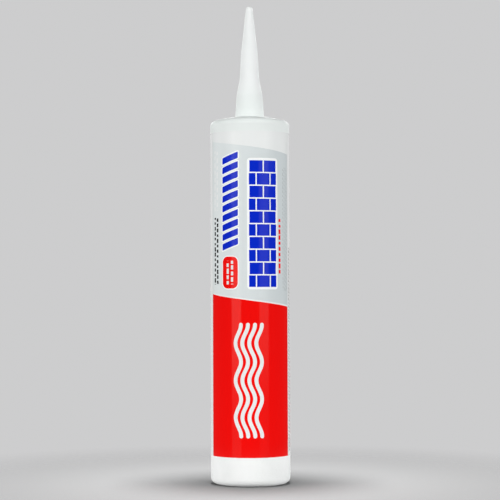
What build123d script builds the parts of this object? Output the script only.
"""Construction adhesive cartridge for a caulking gun: a barrel with a domed head, a fixed nozzle,
the seal under it, the plunger in the open rear end, the adhesive between them and a wrap label.
Millimetres. The origin is the centre of the rear rim, which the cartridge stands on, and +Z
points to the nozzle. The label's front faces -Y."""

import os
from math import degrees, sqrt

from build123d import *

# Barrel: a thin tube with a domed head, and a rear rim that is rolled in to keep the plunger
barrel_diameter = 48.0
barrel_length = 221.9
barrel_wall = 1.4
head_dome_radius = 85.0
head_corner_radius = 3.5
rim_radius = 4.0
rim_lip = 0.6

# Neck on the head, with a bead that the nozzle snaps over
neck_diameter = 12.8
neck_length = 13.0
neck_wall = 1.4
snap_bead_width = 1.8
snap_bead_height = 0.35
snap_bead_above_crown = 6.5
snap_clearance = 0.05
nozzle_seat_clearance = 0.02

# Nozzle: a thick foot round the neck, a flare, a slim body and a steeper cone to the closed tip
nozzle_length = 67.6
nozzle_foot_diameter = 17.5
nozzle_foot_length = 13.6
nozzle_foot_top_diameter = 15.6
nozzle_flare_length = 9.6
nozzle_body_diameter = 11.7
nozzle_body_length = 16.3
nozzle_knee_diameter = 9.9
nozzle_tip_diameter = 3.8
nozzle_foot_rounding = 6.0
nozzle_flare_rounding = 14.0
nozzle_tip_bevel = 0.6
nozzle_wall = 1.3
nozzle_tip_wall = 2.2

# Seal across the neck's mouth, pierced through the cut nozzle before use
seal_thickness = 0.2

# Plunger: a ribbed cup with wiping lips, pushed along the barrel by the gun's plate
plunger_depth = 28.0
plunger_length = 24.0
plunger_wall = 1.5
plunger_skirt_gap = 0.7
plunger_fit = 0.08
plunger_edge_chamfer = 1.5
lip_count = 2
lip_width = 2.4
lip_flat = 0.8
lip_end_margin = 1.0
rib_count = 8
rib_thickness = 1.4
rib_recess = 6.0
hub_diameter = 14.0

# Adhesive: fills the barrel and the neck, and stands just clear of what holds it
fill_clearance = 0.05
fill_gap_at_plunger = 0.3
travel_end_gap = 1.0

# Wrap label: one sheet of film round the barrel, lapped at the back
label_bottom = 17.3
label_length = 194.0
label_thickness = 0.1
label_overlap = 6.0

# Worked out from the sizes above
barrel_radius = barrel_diameter / 2
bore_radius = barrel_radius - barrel_wall
mouth_radius = barrel_radius - rim_radius - rim_lip
neck_radius = neck_diameter / 2
neck_bore_radius = neck_radius - neck_wall
neck_top = barrel_length + neck_length
seal_top = neck_top + seal_thickness
dome_centre = barrel_length - head_dome_radius
plunger_front = plunger_depth + plunger_length
fill_bottom = plunger_front + fill_gap_at_plunger


def dome_height(radius):
    """Height of the head's dome at a radius."""
    return dome_centre + sqrt(head_dome_radius**2 - radius**2)


head_inside_edge = dome_height(bore_radius) - barrel_wall
head_inside_crown = dome_height(neck_bore_radius) - barrel_wall
plunger_travel = head_inside_edge - plunger_front - travel_end_gap


def turned(section):
    """The solid that a half section in the XZ plane sweeps about the Z axis."""
    return revolve(Plane.XZ * section, Axis.Z)


def disc(radius, bottom, top):
    """A round solid on the Z axis, from one height to another."""
    return Pos(0, 0, bottom) * Cylinder(radius, top - bottom, align=(Align.CENTER, Align.CENTER, Align.MIN))


def barrel_form():
    """The outer form of the barrel without its neck: a domed cylinder with rounded ends."""
    crown = (0, barrel_length)
    edge = (barrel_radius, dome_height(barrel_radius))
    half_way = (barrel_radius / 2, dome_height(barrel_radius / 2))
    sides = Polyline(crown, (0, 0), (barrel_radius, 0), edge)
    section = make_face(sides + ThreePointArc(edge, half_way, crown))
    rim_corner = section.vertices().sort_by_distance((barrel_radius, 0))[0]
    section = fillet(rim_corner, rim_radius)
    head_corner = section.vertices().sort_by_distance(edge)[0]
    return turned(fillet(head_corner, head_corner_radius))


def cavity(clearance=0.0):
    """The space inside the barrel, up to the neck; a clearance shrinks it to what fills it."""
    radius = bore_radius - clearance
    bottom = barrel_wall + clearance
    top = head_inside_edge - clearance
    crown = head_inside_crown - clearance
    rim_bevel = rim_radius - barrel_wall
    head_bevel = head_corner_radius - barrel_wall
    section = Polyline(
        (0, bottom),
        (radius - rim_bevel, bottom),
        (radius, bottom + rim_bevel),
        (radius, top - head_bevel),
        (radius - head_bevel, top),
        (neck_bore_radius - clearance, crown),
        (0, crown),
        close=True,
    )
    return turned(make_face(section))


def snap_bead(growth=0.0):
    """The ridge round the neck that holds the nozzle; growth makes the groove for it."""
    middle = barrel_length + snap_bead_above_crown
    half_width = snap_bead_width / 2 + growth
    section = Polyline(
        (neck_bore_radius, middle - half_width),
        (neck_radius, middle - half_width),
        (neck_radius + snap_bead_height + growth, middle),
        (neck_radius, middle + half_width),
        (neck_bore_radius, middle + half_width),
        close=True,
    )
    return turned(make_face(section))


def make_barrel():
    """Tube, domed head, neck and rolled rear rim, moulded as one piece."""
    barrel = barrel_form() + disc(neck_radius, head_inside_crown, neck_top) + snap_bead()
    barrel -= cavity()
    barrel -= disc(mouth_radius, -barrel_wall, 2 * barrel_wall)
    return barrel - disc(neck_bore_radius, head_inside_edge, neck_top + neck_wall)


def make_nozzle():
    """Foot, flare, body and cone over a tapering bore. The tip is closed until it is cut."""
    socket_radius = neck_radius + snap_clearance
    ledge = seal_top + snap_clearance
    socket = (socket_radius, dome_height(socket_radius) + nozzle_seat_clearance)
    foot_radius = nozzle_foot_diameter / 2
    foot = (foot_radius, dome_height(foot_radius) + nozzle_seat_clearance)
    foot_top = (nozzle_foot_top_diameter / 2, foot[1] + nozzle_foot_length)
    body_bottom = (nozzle_body_diameter / 2, foot_top[1] + nozzle_flare_length)
    knee = (nozzle_knee_diameter / 2, body_bottom[1] + nozzle_body_length)
    tip = (nozzle_tip_diameter / 2, foot[1] + nozzle_length)
    bore_bottom = (foot_top[0] - 2 * nozzle_wall, ledge)
    bore_top = (tip[0] - nozzle_wall / 2, tip[1] - nozzle_tip_wall)

    outside = (foot, foot_top, body_bottom, knee, tip, (0, tip[1]))
    inside = ((0, bore_top[1]), bore_top, bore_bottom, (socket_radius, ledge), socket)
    section = make_face(Polyline(*outside, *inside, close=True))
    for corner, radius in ((foot_top, nozzle_foot_rounding), (body_bottom, nozzle_flare_rounding)):
        section = fillet(section.vertices().sort_by_distance(corner)[0], radius)
    tip_corner = section.vertices().sort_by_distance(tip)[0]
    section = chamfer(tip_corner, nozzle_tip_bevel)
    return turned(section) - snap_bead(snap_clearance)


def make_inner_seal():
    """Foil disc sealed across the neck's mouth and held down by the nozzle's ledge."""
    return disc(neck_radius, neck_top, seal_top)


def make_plunger():
    """Cup that is open to the rear, with lips on its skirt, a hub and radial ribs inside."""
    skirt_radius = bore_radius - plunger_skirt_gap
    lip_radius = bore_radius - plunger_fit
    cup_radius = skirt_radius - plunger_wall
    hub_radius = hub_diameter / 2
    face_back = plunger_front - plunger_wall
    rib_bottom = plunger_depth + rib_recess
    lip_root = skirt_radius - plunger_wall / 2

    plunger = disc(skirt_radius, plunger_depth, plunger_front)
    front_edge = plunger.edges().filter_by(GeomType.CIRCLE).sort_by(Axis.Z)[-1]
    plunger = chamfer(front_edge, plunger_edge_chamfer)
    plunger -= disc(cup_radius, plunger_depth, face_back)

    first_lip = plunger_depth + lip_end_margin
    last_lip = plunger_front - plunger_edge_chamfer - lip_end_margin - lip_width
    slope = (lip_width - lip_flat) / 2
    for index in range(lip_count):
        bottom = first_lip + index * (last_lip - first_lip) / (lip_count - 1)
        lip = make_face(
            Polyline(
                (lip_root, bottom),
                (skirt_radius, bottom),
                (lip_radius, bottom + slope),
                (lip_radius, bottom + slope + lip_flat),
                (skirt_radius, bottom + lip_width),
                (lip_root, bottom + lip_width),
                close=True,
            )
        )
        plunger += turned(lip)

    rib_length = cup_radius + plunger_wall / 2
    rib_height = face_back - rib_bottom
    rib = Box(rib_length, rib_thickness, rib_height, align=(Align.MIN, Align.CENTER, Align.MIN))
    ribs = [Pos(0, 0, rib_bottom) * turn * rib for turn in PolarLocations(0, rib_count)]
    plunger = plunger + ribs + disc(hub_radius, rib_bottom, face_back)
    return plunger - disc(hub_radius - plunger_wall, rib_bottom, face_back)


def make_adhesive():
    """The adhesive between the plunger and the seal."""
    fill = cavity(fill_clearance) - disc(barrel_radius, 0, fill_bottom)
    return fill + disc(neck_bore_radius - fill_clearance, head_inside_edge, neck_top - fill_clearance)


def make_label():
    """One wrap of film with its end lapped over its start, down the middle of the back."""
    outside = barrel_radius + label_thickness
    label_top = label_bottom + label_length
    wrap = disc(outside, label_bottom, label_top) - disc(barrel_radius, label_bottom, label_top)
    lap_angle = degrees(label_overlap / barrel_radius)
    lap_section = Pos(outside, label_bottom) * Rectangle(
        label_thickness, label_length, align=(Align.MIN, Align.MIN)
    )
    lap = revolve(Plane.XZ * lap_section, Axis.Z, revolution_arc=lap_angle)
    return wrap + Rot(0, 0, 90 - lap_angle / 2) * lap


parts = {
    "barrel": make_barrel(),
    "nozzle": make_nozzle(),
    "inner_seal": make_inner_seal(),
    "plunger": make_plunger(),
    "adhesive": make_adhesive(),
    "label": make_label(),
}

os.makedirs("parts", exist_ok=True)
for name, part in parts.items():
    export_step(part, f"parts/{name}.step")
    print(f"{name}: {len(part.solids())} solid, {part.volume / 1000:.2f} cm3")
print(f"plunger travel {plunger_travel:.2f} mm, mouth radius {mouth_radius:.2f} mm")
